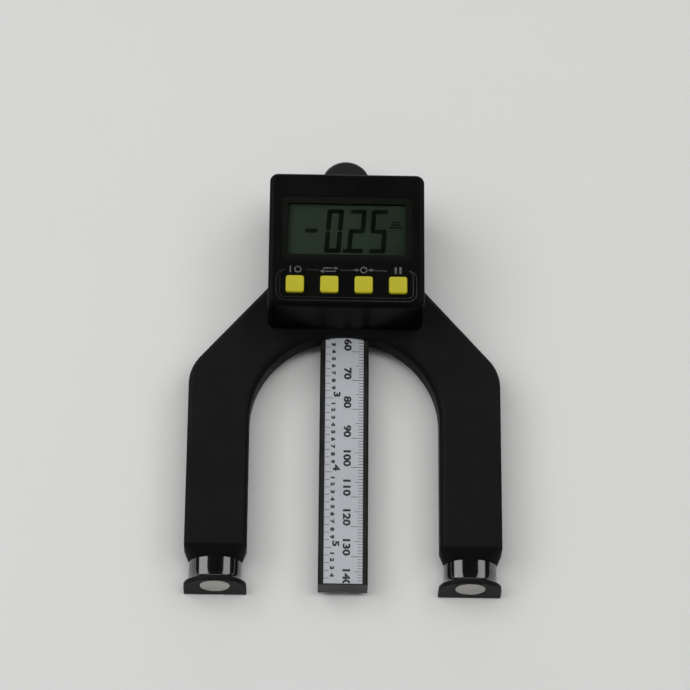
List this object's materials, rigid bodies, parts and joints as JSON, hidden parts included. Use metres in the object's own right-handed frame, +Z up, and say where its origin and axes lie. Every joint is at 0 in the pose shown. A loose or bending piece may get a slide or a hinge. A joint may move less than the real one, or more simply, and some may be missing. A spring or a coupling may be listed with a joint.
{
  "type": "digital table saw height gauge",
  "caption": "Digital height gauge on magnetic feet that straddles a saw blade, with a sliding graduated beam, display and push buttons.",
  "frame": {"origin": "middle of the footprint, in the plane of the soles of the feet", "axes": "+Z up along the beam's travel, -Y towards the display, +X to the right of someone reading it"},
  "size_m": [0.0992, 0.0338, 0.148],
  "materials": {
    "housing": "fine matt spark texture",
    "case": "satin black moulding",
    "window": "clear acrylic",
    "lcd": "grey-green liquid crystal panel",
    "reflector": "silvered film",
    "holder": "natural white moulding",
    "zebra": "layered contact rubber",
    "board": "solder mask",
    "chips": "moulded resin",
    "domes": "sprung steel",
    "button": "satin yellow moulding",
    "flex": "polyimide film",
    "cell": "nickel-plated can",
    "contacts": "sprung brass strip",
    "door": "fine matt spark texture",
    "beam": "black anodised extrusion",
    "label": "satin silver film with printed graduations",
    "grid": "etched circuit strip",
    "screws": "black zinc",
    "gib": "bare brass",
    "spring": "spring steel",
    "foot": "polished black moulding",
    "magnet": "nickel plating"
  },
  "bodies": {
    "housing": {"front_frame": "housing", "rear_frame": "housing", "foot_left": "foot", "foot_right": "foot", "magnet_left": "magnet", "magnet_right": "magnet", "display_case": "case", "display_window": "window", "lcd_panel": "lcd", "lcd_reflector": "reflector", "lcd_holder": "holder", "zebra_strips": "zebra", "main_board": "board", "board_parts": "chips", "switch_domes": "domes", "sensor_board": "board", "sensor_chip": "chips", "flex_cable": "flex", "button_cell": "cell", "contact_plus": "contacts", "contact_minus": "contacts", "gib_strip": "gib", "gib_spring": "spring", "case_screws": "screws", "frame_screws": "screws", "board_screws": "screws"},
    "beam": {"beam_bar": "beam", "scale_label": "label", "grid_strip": "grid", "stop_screws": "screws"},
    "power_key": {"button_power": "button"},
    "units_key": {"button_units": "button"},
    "zero_key": {"button_zero": "button"},
    "hold_key": {"button_hold": "button"},
    "door": {"battery_door": "door"}
  },
  "joints": [
    {"name": "beam_slide", "type": "slide", "parent": "housing", "child": "beam", "axis": [0, 0, 1], "range_m": [-0.01, 0.08]},
    {"name": "power_press", "type": "slide", "parent": "housing", "child": "power_key", "axis": [0, 1, 0], "range_m": [0, 0.0006], "stiffness_N_per_m": 2000},
    {"name": "units_press", "type": "slide", "parent": "housing", "child": "units_key", "axis": [0, 1, 0], "range_m": [0, 0.0006], "stiffness_N_per_m": 2000},
    {"name": "zero_press", "type": "slide", "parent": "housing", "child": "zero_key", "axis": [0, 1, 0], "range_m": [0, 0.0006], "stiffness_N_per_m": 2000},
    {"name": "hold_press", "type": "slide", "parent": "housing", "child": "hold_key", "axis": [0, 1, 0], "range_m": [0, 0.0006], "stiffness_N_per_m": 2000},
    {"name": "door_slide", "type": "slide", "parent": "housing", "child": "door", "axis": [0, 0, 1], "range_m": [0, 0.018]}
  ]
}
